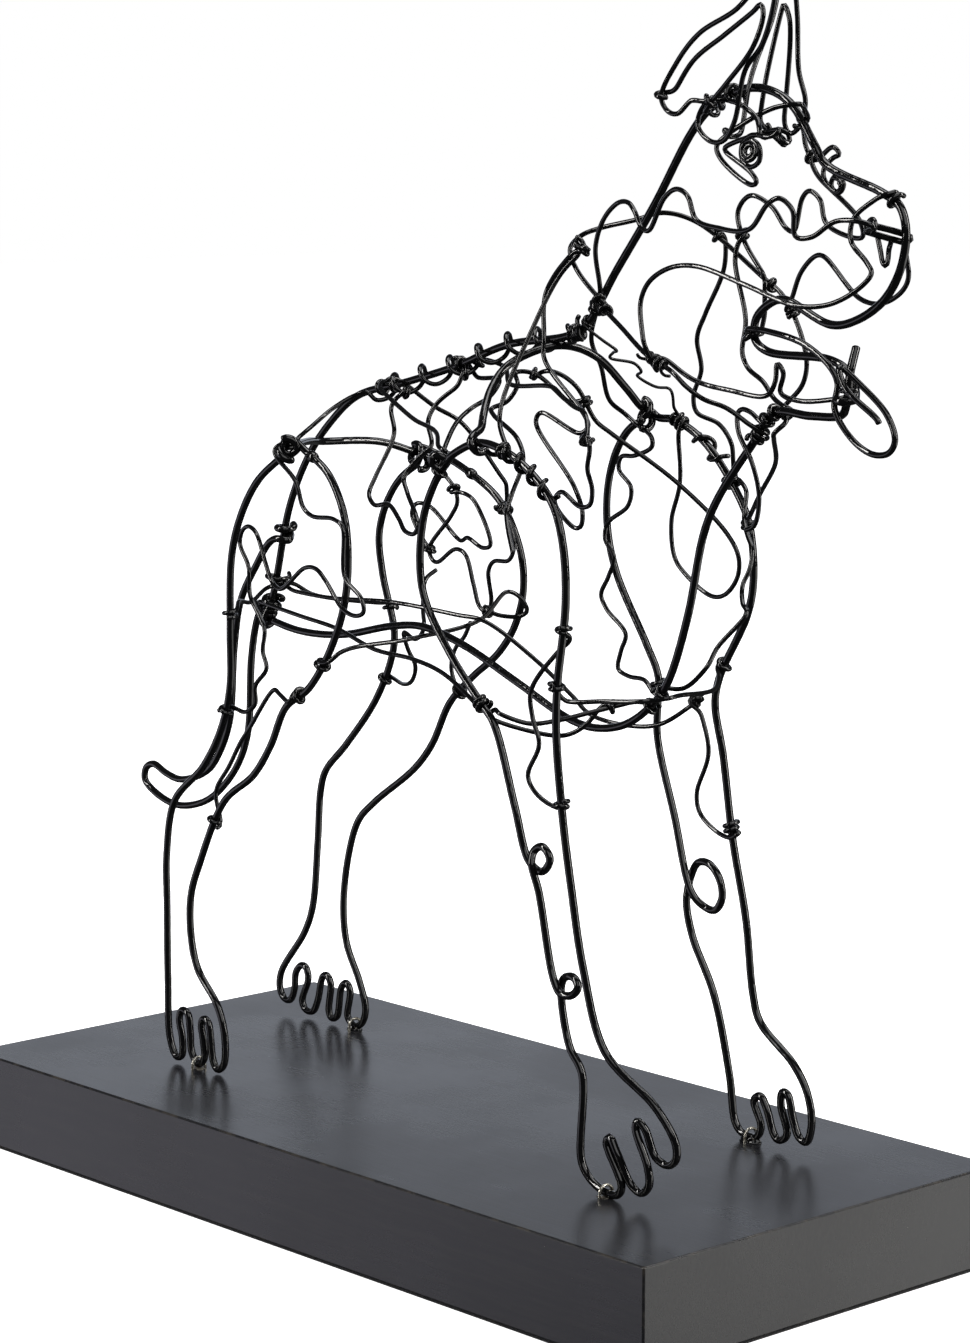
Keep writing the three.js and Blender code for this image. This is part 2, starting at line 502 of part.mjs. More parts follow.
// The face, the mouth and the ears
wire("right_jaw_wire", SCROLL_WIRE, [
  [98, -15, 229], [106, -14, 224], [115, -13, 221], [125, -11, 220], [133, -10, 219.5],
  [135.5, -9.5, 223], [135.5, -9, 228], [137, -8.5, 226], [135.5, -8, 220.5], [140, -7, 218.5],
  [149, -5, 219], [157, -4, 220],
]);
wire("right_cheek_wire", SCROLL_WIRE, [
  [97, -20, 232], [95, -19, 237], [94, -18, 243], [98, -18, 249], [106, -17, 252.5], [114, -16, 252.5],
  [124, -15, 250], [135, -14, 246], [145, -13, 243.5], [155, -11, 244], [163, -9, 248], [166, -7, 252.5],
  [162, -6, 256], [157, -5, 260], [157, -4, 266], [161, -3, 269.5], [167, -2, 273],
]);
wire("left_lip_scroll", SCROLL_WIRE, [
  [118, 15, 243], [120, 14, 247], [124, 14, 252.5], [130, 13, 255.5], [135, 12, 252.5], [140, 11, 249],
  [146, 10, 245], [154, 9, 243.5], [161, 8, 245.5], [166, 7, 250], [166, 6, 257],
]);
wire("right_cheek_scroll", SCROLL_WIRE, [
  [64, -4, 245], [64, -6, 255], [68, -7, 263.5], [75, -8, 268.5], [82, -10, 268], [86.5, -11, 262.5],
  [91, -12, 261.5], [95, -12.5, 268], [101, -13, 272.5], [107, -14, 271], [110.5, -14.5, 265],
  [118, -15, 263], [127, -17, 262.5], [132.5, -17, 262.5], [137, -18, 267], [143, -17.5, 271],
  [147, -16, 267.5], [146.5, -15, 261.5], [151, -14, 261], [157, -12, 265], [164, -11, 265.5],
  [169, -9, 264],
]);
wire("left_cheek_scroll", SCROLL_WIRE, [
  [108, 15, 249], [102, 16, 255], [98, 16, 260.5], [96, 17, 266.5], [100.5, 17, 270.5], [107, 18, 268],
  [112, 18, 262.5], [117, 17, 261.5], [118, 17, 267], [121.5, 17, 272], [125.5, 17, 270.5],
  [128, 16.5, 264.5], [133, 16, 261.5], [139, 15, 260.5], [144, 14, 260.5], [143.5, 13, 265],
  [138, 11.5, 270], [133, 10, 274.5], [130, 9, 279],
]);
wire("left_collar_wire", SCROLL_WIRE, [
  [64, -3, 240], [56, -5, 249], [51, -3, 256], [54, 1, 260], [64, 4, 262], [75, 8, 265.5],
  [84, 12, 263.5], [93, 15, 257.5], [103, 18, 249.5], [109, 18, 246], [113, 18, 243], [118, 18, 234.5],
  [121, 18, 227], [119.5, 18, 220], [113, 18, 214],
]);
wire("left_neck_scroll", SCROLL_WIRE, [
  [93, 14, 261], [91, 17, 254], [88, 18.5, 247.5], [80, 21, 237.5], [75, 23, 231], [74, 26, 222.5],
  [69, 28, 214.5], [69, 29, 209.5], [75, 31, 207], [79, 33, 201], [78, 35, 195],
]);
wire("left_throat_scroll", SCROLL_WIRE, [
  [99, 15, 259], [98, 14, 254], [101, 12.5, 246], [105, 11, 238], [105, 9.5, 231], [107, 9, 225.5],
  [114, 7.5, 222.5], [119, 6, 218], [124, 5, 216],
]);
wire("tongue_wire", MOUTH_WIRE, [
  [116, 0, 236], [122, -2, 236], [132, -3, 235], [140.1, -3, 232.6], [144, -3, 230.7],
  [147.1, -3, 228.6], [150, -3, 226], [151.1, -3, 224], [150.8, -3, 221], [151.3, -3, 217.4],
  [153.4, -3, 213.1], [157.1, -3, 208.8], [162, -3, 206.2], [166.1, -3, 205.5], [169.9, -3, 206.8],
  [171.3, -3, 209.3], [170.3, -3, 213.2], [167.6, -3, 217.1], [164.3, -3.4, 220.4], [161, -4.4, 223.2],
  [158.4, -5.4, 225.4], [156.2, -6, 227.2], [155.7, -7.2, 228], [156.6, -8.4, 227.1], [157.9, -8.6, 224],
  [161.1, -8.6, 221.2], [165.4, -8, 218.5], [168.6, -7.4, 215.6], [169.5, -7, 214],
]);
wire("right_ear_wire", SCROLL_WIRE, [
  [116, -15, 294], [111, -16, 296], [107, -17, 292.5], [102.5, -17, 293], [101, -18, 296],
  [102.5, -18, 300], [107, -18, 306], [115, -19, 312.5], [125, -20, 316.5], [133, -19.5, 321],
  [137, -19, 326], [140, -18, 328], [141.5, -18, 324], [140, -17, 320], [136, -16, 311],
  [129, -15, 304], [127, -14, 297], [124, -14, 289], [119, -14, 285], [113.5, -14, 286],
  [110.5, -14, 290], [114, -14, 295.5], [122, -14, 295.5], [129, -14, 293], [134, -14, 289],
]);
wire("right_ear_inner_wire", SCROLL_WIRE, [
  [104, -17, 297], [108, -17, 302.5], [115, -17, 308.5], [124, -17, 313], [131, -17, 316.5],
  [135.5, -17, 320], [137, -17, 318], [135, -17, 311], [130, -17, 305], [123, -17, 299.5],
  [117, -16, 295],
]);
wire("left_ear_wire", SCROLL_WIRE, [
  [119, -6, 287], [118, -4, 293], [117.5, 0, 302], [118, 5, 313], [117, 9, 324], [118.5, 11, 328],
  [121, 12, 323], [120.5, 13, 314], [121, 13, 305], [123, 14, 296], [120.5, 14, 288.5], [115, 14, 285.5],
]);
wire("left_ear_inner_wire", SCROLL_WIRE, [
  [110, 10, 290], [110.5, 10, 296], [113, 11, 306], [115.5, 11.5, 315], [116.5, 12, 321],
  [118.5, 12, 318], [118, 13, 308], [116.5, 13.5, 297], [115, 14, 288.5],
]);
const rightEye = [132.6, 282.6];
wire("right_brow_and_eye_wire", SCROLL_WIRE, [
  [141, -7, 295], [134.5, -9, 294.3], [128, -10, 291.2], [121, -11, 288.2], [118.1, -12, 286.1],
  [116.1, -12.5, 284], [116.5, -12.5, 281.9], [121, -12.5, 278.3], [127.6, -12.5, 274.4],
  [130.3, -12.5, 274], [130.6, -12.5, 275.5], [125, -12.5, 279.3], [119.4, -12.5, 282.6],
  [119.1, -13, 283.6], [121.9, -13.5, 284.9], [131.5, -14, 287.4], [138, -14.5, 288.6],
  [140.8, -15, 288.2], [139, -15.2, 286.8], [135.5, -15.4, 287],
  ...spiral(rightEye, [4.8, 2.3], [-15.6, -18], 1.5, 76, 1),
]);
wire("left_brow_and_eye_wire", SCROLL_WIRE, [
  [138, 9, 276], [141.5, 9, 274.5], [140.5, 9, 272], [136, 9, 274], [134, 9, 277], [136, 10, 280.5],
  [139, 10, 282], [136.5, 10, 283.8], [132, 10, 281], [129.5, 10, 280], [127, 10, 284], [126, 10, 289],
]);
wire("nose_wire", MOUTH_WIRE, [
  [163.6, -6, 264.3], [164.9, -4, 263.9], [166.1, -2, 263.3], [166.9, 1, 262.6], [168.4, 2.8, 261.9],
  [170.1, 3.2, 261], [169.3, 3, 260], [166.9, 2.6, 260.2], [166.1, 0, 260.7], [164.5, -2, 261.5],
  [163.2, -4, 262.3], [162.4, -6, 262.9],
]);

// Staples straddle the wire of one toe of each foot, with their legs in the plinth.
const stapleSides = SCROLL_SIDES;
const stapleReach = sectionReach(FINE_WIRE, stapleSides);
const footReach = sectionReach(FRAME_WIRE, FRAME_SIDES);

function toeAt(steps, x) {
  const crossing = steps.flatMap((p, i) => {
    const next = steps[i + 1];
    if (!next || (p.x - x) * (next.x - x) > 0 || p.x === next.x) return [];
    const at = p.clone().lerp(next, (x - p.x) / (next.x - p.x));
    return [{ at, along: next.clone().sub(p).setZ(0).normalize() }];
  });
  return crossing.reduce((low, c) => (c.at.z < low.at.z ? c : low));
}

function addStaple(name, leg, x) {
  const { at, along } = toeAt(leg, x * figureScale);
  const across = new THREE.Vector3(-along.y, along.x, 0);
  const half = footReach + stapleReach + 2 * CLEARANCE;
  const crown = at.z + footReach + stapleReach + CLEARANCE;
  const foot = plinthTop - STAPLE_DEPTH + CLEARANCE;
  const shoulder = crown - half / 2;
  const post = (side, z) => new THREE.Vector3(at.x, at.y, 0).addScaledVector(across, side * half).setZ(z);
  const nearSide = [post(-1, foot), post(-1, shoulder), post(-0.5, crown)];
  const farSide = [post(0.5, crown), post(1, shoulder), post(1, foot)];
  const arch = [...nearSide, ...farSide];
  addMesh(name, wireGeometry(arch, stapleReach, stapleSides), steel());
  return [arch[0], arch[arch.length - 1]];
}

const stapleLegs = [
  ...addStaple("right_front_staple", rightFrontLeg, 99),
  ...addStaple("left_front_staple", leftFrontLeg, 87),
  ...addStaple("right_hind_staple", rightHindLeg, -84.4),
  ...addStaple("left_hind_staple", leftHindLeg, -89.5),
];

// Plinth and felt
function outline(length, width, corner) {
  const x = length / 2;
  const y = width / 2;
  const corners = [
    [-x + corner, -y], [x - corner, -y], [x, -y + corner], [x, y - corner],
    [x - corner, y], [-x + corner, y], [-x, y - corner], [-x, -y + corner],
  ];
  return new THREE.Shape(corners.map(([along, across]) => new THREE.Vector2(along, across)));
}

const plinthBlock = new THREE.ExtrudeGeometry(outline(PLINTH_LENGTH, PLINTH_WIDTH, PLINTH_EDGE), {
  depth: PLINTH_HEIGHT - 2 * PLINTH_EDGE,
  bevelThickness: PLINTH_EDGE,
  bevelSize: PLINTH_EDGE,
  bevelOffset: -PLINTH_EDGE,
  bevelSegments: 1,
});
plinthBlock.translate(0, 0, plinthUnderside + PLINTH_EDGE);
const holeWidth = 2 * (stapleReach + CLEARANCE);
const plinth = stapleLegs.reduce((block, leg) => {
  const drill = new THREE.BoxGeometry(holeWidth, holeWidth, 2 * STAPLE_DEPTH);
  drill.translate(leg.x, leg.y, plinthTop);
  return block.subtract(solidOf(drill));
}, solidOf(plinthBlock));
addMesh("plinth", geometryOf(plinth), paint());

const sheet = new THREE.ExtrudeGeometry(
  outline(PLINTH_LENGTH - 2 * FELT_INSET, PLINTH_WIDTH - 2 * FELT_INSET, PLINTH_EDGE),
  { depth: FELT_THICKNESS, bevelEnabled: false },
);
addMesh("felt_sheet", sheet, felt());

export default sculpture;
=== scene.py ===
import math

import bmesh
import bpy
import numpy as np
from mathutils import Matrix, Vector, noise

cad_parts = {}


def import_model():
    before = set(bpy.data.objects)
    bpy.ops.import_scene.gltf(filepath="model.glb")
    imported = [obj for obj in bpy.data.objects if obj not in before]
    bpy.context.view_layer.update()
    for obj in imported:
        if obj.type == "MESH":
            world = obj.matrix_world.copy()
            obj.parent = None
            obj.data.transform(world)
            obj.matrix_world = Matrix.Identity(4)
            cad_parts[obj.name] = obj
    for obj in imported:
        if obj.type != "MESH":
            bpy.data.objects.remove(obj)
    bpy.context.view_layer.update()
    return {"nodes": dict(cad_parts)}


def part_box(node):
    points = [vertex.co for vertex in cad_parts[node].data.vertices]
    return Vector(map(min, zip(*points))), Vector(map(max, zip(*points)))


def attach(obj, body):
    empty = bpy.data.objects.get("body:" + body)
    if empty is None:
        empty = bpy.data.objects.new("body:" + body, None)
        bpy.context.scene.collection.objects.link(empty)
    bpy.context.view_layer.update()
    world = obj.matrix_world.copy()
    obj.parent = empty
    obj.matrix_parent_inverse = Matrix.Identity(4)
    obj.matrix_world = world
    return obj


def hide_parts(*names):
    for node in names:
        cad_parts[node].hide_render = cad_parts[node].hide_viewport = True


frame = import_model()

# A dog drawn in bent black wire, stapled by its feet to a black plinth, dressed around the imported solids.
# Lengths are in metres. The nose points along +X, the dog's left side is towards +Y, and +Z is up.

MM = 0.001

# Wire gauges: diameter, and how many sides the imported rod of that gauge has
FRAME_WIRE = 2.0 * MM
SCROLL_WIRE = 1.2 * MM
MOUTH_WIRE = 1.5 * MM
FINE_WIRE = 0.8 * MM
GAUGES = [(FRAME_WIRE, 6), (SCROLL_WIRE, 4), (MOUTH_WIRE, 4), (FINE_WIRE, 4)]

# How finely the wires are drawn
RING_STEP = 0.7 * MM  # spacing of the sections along a wire
ROUND_SIDES = 12
SPLINE_POINTS = 12  # trial points between two given ones
WELD = 0.002 * MM  # corners closer than this are one corner
CHORD_FIT = 4e-3  # how far an edge of a packed section may be from its length, as a share

# A cut end of a wire, as shares of the wire's radius: the radius of its face and of its rounded rim, and how
# far the rim is set back
CUT_FACE = 0.62
CUT_RIM = 0.97
CUT_SETBACK = 0.3
WOBBLE = 0.03  # how uneven a wire is, as a share of its radius

ENAMELLED = 1.15  # a dipped wire is this much thicker than the bare one

# Staples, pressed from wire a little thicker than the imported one
PRESSED = 1.15
STAPLE_WOBBLE = 0.06

# Binding turns at the end of a wire
REACH_FOR_CARRIER = 2.6 * MM  # a wire's end within this gap of another wire is wound round it
TURNS = {FRAME_WIRE: 0.6, SCROLL_WIRE: 1.3, MOUTH_WIRE: 1.0, FINE_WIRE: 1.3}
TURN_POINTS = 14
RUN_IN = 4.0 * MM  # the length of wire that swings in to meet its carrier
TOUCH = 0.03 * MM  # gap left between a turn and its carrier
CUT_END_LIFT = 0.7 * MM  # how far a cut end stands off its carrier
OWN_REACH = 12 * MM  # an end isn't wound round this last stretch of its own wire
THICKER_FIRST = 0.6 * MM  # how much further off a thicker carrier may be
NEAR_CARRIER = 2.4  # a wire swings in from this many radii of its turns
TURN_PITCH = 1.06  # from one turn to the next, in diameters of the wire
EASINGS = 6

# Wires wound along a carrier
WANDER = 1.6 * RING_STEP  # how unevenly the turns are spaced
FLARE = 1.4 * MM  # how far the ends stick out
FLARED_TURNS = 0.45  # over how much of a turn they do

# Glue on top of a drop of enamel: where, and its size as a share of the drop's
GLUE_OFFSET = (1.2, -0.4, 1.1)
GLUE_SHARE = 0.35
GLUE_ROUGHNESS = 0.6

plinth_low, plinth_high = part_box("plinth")
PLINTH_TOP = plinth_high.z
STAGE_SIZE = 12.0

# The photograph's camera, worked out from the corners of the plinth: its place, how far it turns, falls
# and rolls in degrees, and its focal length and the picture's height in pixels
CAMERA_PLACE = (0.79416, -0.71377, 0.32096)
CAMERA_ANGLES = (47.59, 8.54, 0.07)
FOCAL_PIXELS = 3681
PHOTO_HEIGHT = 1343
SENSOR = 36

WIRE_NODES = [
    "head_and_spine_wire", "chest_and_belly_wire", "right_front_leg_wire", "left_front_leg_wire",
    "right_hind_leg_wire", "left_hind_leg_wire", "pelvis_wire", "shoulder_wire", "tail_wire",
    "spine_coil_wire", "right_side_line", "left_side_line", "rump_tie", "hip_cross_tie", "breast_tie",
    "belly_sling", "left_elbow_scroll", "throat_scroll", "throat_loop", "left_chest_scroll",
    "left_shoulder_scroll", "right_foreleg_scroll", "left_foreleg_scroll", "right_collar_wire",
    "right_mane_line", "right_mane_scroll", "right_shoulder_tie", "right_shoulder_scroll", "back_curl",
    "withers_curl", "right_back_tie", "left_back_tie", "right_flank_scroll", "left_hip_scroll",
    "left_hip_loop", "right_hip_scroll", "left_thigh_scroll", "right_hock_scroll", "right_jaw_wire",
    "right_cheek_wire", "left_lip_scroll", "right_cheek_scroll", "left_cheek_scroll", "left_collar_wire",
    "left_neck_scroll", "left_throat_scroll", "tongue_wire", "right_ear_wire", "right_ear_inner_wire",
    "left_ear_wire", "left_ear_inner_wire", "right_brow_and_eye_wire", "left_brow_and_eye_wire", "nose_wire",
]

# Ends wound round a wire that is listed here, and how many turns they take.
# Without a wire, an end stays free.
CHOSEN_ENDS = {
    ("tail_wire", 0): ("head_and_spine_wire", 1.2),
    ("tail_wire", -1): ("head_and_spine_wire", 1.2),
    ("left_hind_leg_wire", -1): ("pelvis_wire", 0.6),
    ("right_side_line", 0): ("right_front_leg_wire", 2.2),
    ("right_side_line", -1): ("head_and_spine_wire", 2.2),
    ("left_elbow_scroll", 0): ("left_front_leg_wire", 2.2),
    ("left_neck_scroll", 0): ("left_front_leg_wire", 2.2),
    ("left_shoulder_scroll", 0): ("left_front_leg_wire", 2.2),
    ("left_shoulder_scroll", -1): ("head_and_spine_wire", 1.5),
    ("left_foreleg_scroll", -1): ("left_front_leg_wire", 2.2),
    ("right_mane_line", 0): ("right_front_leg_wire", 1.3),
    ("right_mane_scroll", -1): ("back_curl", 1.5),
    ("right_shoulder_scroll", 0): ("left_chest_scroll", 2.0),
    ("right_shoulder_scroll", -1): (None, 0),
    ("withers_curl", 0): ("head_and_spine_wire", 1.5),
    ("left_back_tie", -1): ("left_hind_leg_wire", 2.3),
    ("left_hip_scroll", 0): ("left_hind_leg_wire", 0.8),
    ("left_hip_scroll", -1): ("left_hind_leg_wire", 1.7),
    ("left_hip_loop", -1): ("left_hip_scroll", 1.6),
    ("left_thigh_scroll", 0): (None, 0),
    ("right_cheek_wire", 0): ("right_collar_wire", 1.2),
    ("right_jaw_wire", 0): ("right_collar_wire", 1.3),
    ("left_lip_scroll", 0): ("left_collar_wire", 2.0),
    ("left_lip_scroll", -1): (None, 0),
    ("right_cheek_scroll", -1): ("nose_wire", 1.2),
    ("left_cheek_scroll", 0): ("left_collar_wire", 1.4),
    ("left_collar_wire", -1): ("chest_and_belly_wire", 1.2),
    ("left_ear_wire", -1): ("right_brow_and_eye_wire", 0.8),
    ("left_ear_inner_wire", 0): ("left_ear_wire", 0.8),
    ("right_brow_and_eye_wire", 0): (None, 0),
    ("right_brow_and_eye_wire", -1): ("head_and_spine_wire", 0.6),
    ("left_brow_and_eye_wire", 0): (None, 0),
    ("left_brow_and_eye_wire", -1): ("left_ear_wire", 0.9),
    ("nose_wire", -1): (None, 0),
    ("chest_and_belly_wire", -1): (None, 0),
    ("throat_scroll", 0): (None, 0),
    ("right_collar_wire", -1): ("chest_and_belly_wire", 1.3),
    ("throat_loop", -1): ("chest_and_belly_wire", 1.2),
    ("throat_scroll", -1): ("chest_and_belly_wire", 1.2),
    ("right_hip_scroll", 0): ("pelvis_wire", 0.8),
    ("spine_coil_wire", 0): ("pelvis_wire", 0.8),
    ("right_back_tie", -1): ("right_shoulder_tie", 0.8),
    ("right_shoulder_tie", -1): ("right_front_leg_wire", 0.8),
    ("right_ear_wire", 0): ("right_ear_inner_wire", 0.8),
    ("right_ear_wire", -1): ("right_brow_and_eye_wire", 0.8),
    ("right_ear_inner_wire", 0): ("right_ear_wire", 0.8),
    ("right_ear_inner_wire", -1): ("right_ear_wire", 0.8),
    ("left_ear_wire", 0): ("left_ear_inner_wire", 0.8),
    ("left_ear_inner_wire", -1): ("left_ear_wire", 0.8),
    ("tongue_wire", -1): (None, 0),
    ("nose_wire", 0): (None, 0),
    ("nose_drop", 0): (None, 0),
    ("nose_drop", -1): (None, 0),
}

# Places below are in millimetres above the top of the plinth, as the wires' routes are.
# Short wires that join others: their gauge and the points they pass through
SHORT_WIRES = {
    "thigh_link": (
        SCROLL_WIRE,
        [(-32, 35, 139), (-35, 35, 134), (-39, 35, 130), (-41, 35, 124), (-38, 35, 116)],
    ),
    "jaw_drop": (SCROLL_WIRE, [(111, 12, 248), (111, 12, 242), (111, 12, 239), (110, 12, 235)]),
    "nose_drop": (
        SCROLL_WIRE,
        [
            (163.3, -2, 261.3), (164, -2.2, 259.7), (165, -2.6, 257.5), (166.2, -3, 254.7),
            (167.2, -3, 254), (167.5, -2.6, 255.5), (166.8, -1.5, 258), (166, 0, 259.5),
            (165.5, 0.9, 260.5),
        ],
    ),
}

# Wires wound along a carrier: the carrier, where they start and stop, turns, gauge, and how loose they
# are in millimetres
WINDINGS = {
    "right_shoulder_winding": (
        "right_front_leg_wire", (54.8, -35, 202.5), (77, -35, 190), 4.6, SCROLL_WIRE, 0.12,
    ),
    "left_shoulder_winding": ("left_front_leg_wire", (60, 37, 203), (71, 37, 194.5), 1.8, SCROLL_WIRE, 0.3),
    "brow_winding": ("head_and_spine_wire", (101, 0, 293.2), (112.3, 0, 298.5), 3.2, SCROLL_WIRE, 0.2),
    "cheek_winding": ("right_collar_wire", (90, -12.4, 228.8), (103, -17, 225.4), 4.3, FINE_WIRE, 0.15),
    "rump_ring": ("head_and_spine_wire", (-82.6, 0, 152), (-83.4, 0, 148.6), 1.4, SCROLL_WIRE, 1.8),
    "withers_winding": ("head_and_spine_wire", (47, 0, 230.5), (54, 0, 234), 1.8, SCROLL_WIRE, 0.3),
}

# Lumps of enamel over a joint in a hoop: the wire and the place
LUMPS = {
    "right_hip_lump": ("right_hind_leg_wire", (-30.5, -30, 192)),
    "left_hip_lump": ("left_hind_leg_wire", (-35, 38, 183.5)),
}

# Eyes: each is the end of its brow wire, coiled inwards. The coil's middle, turns and last radius
EYES = {
    "right_brow_and_eye_wire": ((132.6, -17.3, 282.7), 1.5, 0.9 * MM),
    "left_brow_and_eye_wire": ((139.3, 9.0, 273.9), 0.9, 0.8 * MM),
}


# Materials
class Shader:
    """A material's node tree, with short calls for the nodes used here."""

    def __init__(self, name):
        self.material = bpy.data.materials.new(name)
        self.material.use_nodes = True
        self.tree = self.material.node_tree
        self.surface = self.tree.nodes["Principled BSDF"]
        place = self.tree.nodes.new("ShaderNodeTexCoord")
        self.place = place.outputs["Object"]

    def link(self, source, target):
        self.tree.links.new(source, target)

    def set(self, **values):
        for name, value in values.items():
            self.surface.inputs[name.replace("_", " ")].default_value = value

    def stretched(self, scale):
        node = self.tree.nodes.new("ShaderNodeMapping")
        node.inputs["Scale"].default_value = scale
        self.link(self.place, node.inputs["Vector"])
        return node.outputs["Vector"]

    def noise(self, scale, detail=4.0, rough=0.6, vector=None):
        node = self.tree.nodes.new("ShaderNodeTexNoise")
        node.inputs["Scale"].default_value = scale
        node.inputs["Detail"].default_value = detail
        node.inputs["Roughness"].default_value = rough
        self.link(vector or self.place, node.inputs["Vector"])
        return node.outputs["Fac"]

    def cells(self, scale, vector=None):
        node = self.tree.nodes.new("ShaderNodeTexVoronoi")
        node.inputs["Scale"].default_value = scale
        self.link(vector or self.place, node.inputs["Vector"])
        return node.outputs["Distance"]

    def ranged(self, source, low, high, to_low, to_high):
        node = self.tree.nodes.new("ShaderNodeMapRange")
        node.interpolation_type = "SMOOTHSTEP"
        for name, value in zip(("From Min", "From Max", "To Min", "To Max"), (low, high, to_low, to_high)):
            node.inputs[name].default_value = value
        self.link(source, node.inputs["Value"])
        return node.outputs["Result"]

    def blended(self, share, first, second):
        """Colour first where share is 0 and second where it is 1. Each is a colour or an output."""
        node = self.tree.nodes.new("ShaderNodeMix")
        node.data_type = "RGBA"
        self.link(share, node.inputs["Factor"])
        for socket, colour in ((node.inputs["A"], first), (node.inputs["B"], second)):
            if isinstance(colour, tuple):
                socket.default_value = (*colour, 1.0)
            else:
                self.link(colour, socket)
        return node.outputs["Result"]

    def maths(self, operation, *values):
        node = self.tree.nodes.new("ShaderNodeMath")
        node.operation = operation
        for socket, value in zip(node.inputs, values):
            if isinstance(value, (int, float)):
                socket.default_value = value
            else:
                self.link(value, socket)
        return node.outputs["Value"]

    def bump(self, height, distance, strength=1.0, under=None):
        node = self.tree.nodes.new("ShaderNodeBump")
        node.inputs["Distance"].default_value = distance
        node.inputs["Strength"].default_value = strength
        self.link(height, node.inputs["Height"])
        if under:
            self.link(under, node.inputs["Normal"])
        return node.outputs["Normal"]


def enamel_material():
    """Glossy black enamel dipped over the wire, with small runs, pinholes and rubbed specks."""
    shader = Shader("black_enamel")
    drift = shader.noise(160, 3)
    grain = shader.noise(2600, 3)
    specks = shader.ranged(shader.cells(1100), 0.0, 0.09, 1.0, 0.0)
    patches = shader.ranged(shader.noise(420, 4), 0.58, 0.7, 0.0, 1.0)
    worn = shader.maths("MULTIPLY", specks, patches)
    tint = shader.blended(drift, (0.0015, 0.0015, 0.0018), (0.004, 0.004, 0.0044))
    shader.link(shader.blended(worn, tint, (0.1, 0.095, 0.085)), shader.surface.inputs["Base Color"])
    gloss = shader.ranged(drift, 0.3, 0.7, 0.045, 0.11)
    shader.link(shader.maths("MULTIPLY_ADD", worn, 0.4, gloss), shader.surface.inputs["Roughness"])
    runs = shader.bump(drift, 0.5 * MM, 0.3)
    fine = shader.bump(grain, 0.03 * MM, 0.2, runs)
    shader.link(shader.bump(worn, 0.05 * MM, 0.8, fine), shader.surface.inputs["Normal"])
    shader.set(IOR=1.5)
    return shader.material


def steel_material():
    """Bare steel of a staple, dulled and touched by paint."""
    shader = Shader("bright_steel")
    stain = shader.ranged(shader.noise(900, 4), 0.42, 0.62, 0.0, 1.0)
    shader.link(
        shader.blended(stain, (0.5, 0.48, 0.42), (0.08, 0.07, 0.05)), shader.surface.inputs["Base Color"]
    )
    shader.link(shader.ranged(stain, 0, 1, 0.24, 0.5), shader.surface.inputs["Roughness"])
    shader.link(shader.bump(shader.noise(5000, 2), 0.03 * MM, 0.5), shader.surface.inputs["Normal"])
    shader.set(Metallic=0.9)
    return shader.material


def glue_material():
    """Clear glue gone dull, round the staples."""
    shader = Shader("dried_glue")
    dust = shader.noise(1800, 4)
    tint = shader.blended(dust, (0.03, 0.027, 0.023), (0.16, 0.145, 0.12))
    shader.link(tint, shader.surface.inputs["Base Color"])
    shader.link(shader.ranged(dust, 0.3, 0.7, 0.15, 0.5), shader.surface.inputs["Roughness"])
    shader.link(shader.bump(dust, 0.2 * MM, 0.6), shader.surface.inputs["Normal"])
    shader.set(IOR=1.45)
    return shader.material


def edge_distance(shader):
    """How far a point of the plinth is from the nearest of its edges, in metres."""
    split = shader.tree.nodes.new("ShaderNodeSeparateXYZ")
    shader.link(shader.place, split.inputs["Vector"])
    middle = (plinth_low + plinth_high) / 2
    half = (plinth_high - plinth_low) / 2
    inset = []
    for axis in range(3):
        off = shader.maths("SUBTRACT", split.outputs[axis], middle[axis])
        inset.append(shader.maths("SUBTRACT", half[axis], shader.maths("ABSOLUTE", off)))
    # On a face one of the three insets is nothing, and the next smallest is the way to the edge.
    x, y, z = inset
    low = shader.maths("MINIMUM", shader.maths("MINIMUM", x, y), z)
    high = shader.maths("MAXIMUM", shader.maths("MAXIMUM", x, y), z)
    both = shader.maths("ADD", shader.maths("ADD", x, y), z)
    return shader.maths("SUBTRACT", shader.maths("SUBTRACT", both, low), high)


def plinth_material():
    """Satin black stain brushed over wood: fine brush lines, dust specks, rubbed edges."""
    shader = Shader("plinth_paint")
    clouds = shader.noise(14, 4)
    brush = shader.noise(1.0, 5, 0.65, shader.stretched((35, 900, 420)))
    grain = shader.noise(1.0, 6, 0.7, shader.stretched((160, 1400, 1400)))
    specks = shader.ranged(shader.cells(330), 0.0, 0.06, 1.0, 0.0)
    thin = shader.ranged(shader.noise(90, 3), 0.5, 0.62, 0.0, 1.0)
    dust = shader.maths("MULTIPLY", specks, thin)
    stain = shader.blended(clouds, (0.009, 0.0095, 0.0115), (0.016, 0.016, 0.0185))
    lined = shader.blended(shader.ranged(brush, 0.4, 0.7, 0.0, 0.6), stain, (0.024, 0.0235, 0.024))
    spotted = shader.blended(dust, lined, (0.2, 0.19, 0.17))
    near_edge = shader.ranged(edge_distance(shader), 0.1 * MM, 0.9 * MM, 1.0, 0.0)
    chafe = shader.ranged(shader.noise(210, 5), 0.45, 0.68, 0.0, 1.0)
    rubbed = shader.maths("MULTIPLY", near_edge, chafe)
    shader.link(shader.blended(rubbed, spotted, (0.055, 0.048, 0.04)), shader.surface.inputs["Base Color"])
    gloss = shader.ranged(clouds, 0.3, 0.7, 0.2, 0.27)
    shader.link(shader.maths("MULTIPLY_ADD", brush, 0.08, gloss), shader.surface.inputs["Roughness"])
    lines = shader.bump(brush, 0.06 * MM, 0.35)
    pores = shader.bump(grain, 0.03 * MM, 0.3, lines)
    shader.link(shader.bump(dust, 0.08 * MM, 1.0, pores), shader.surface.inputs["Normal"])
    shader.set(IOR=1.45)
    return shader.material


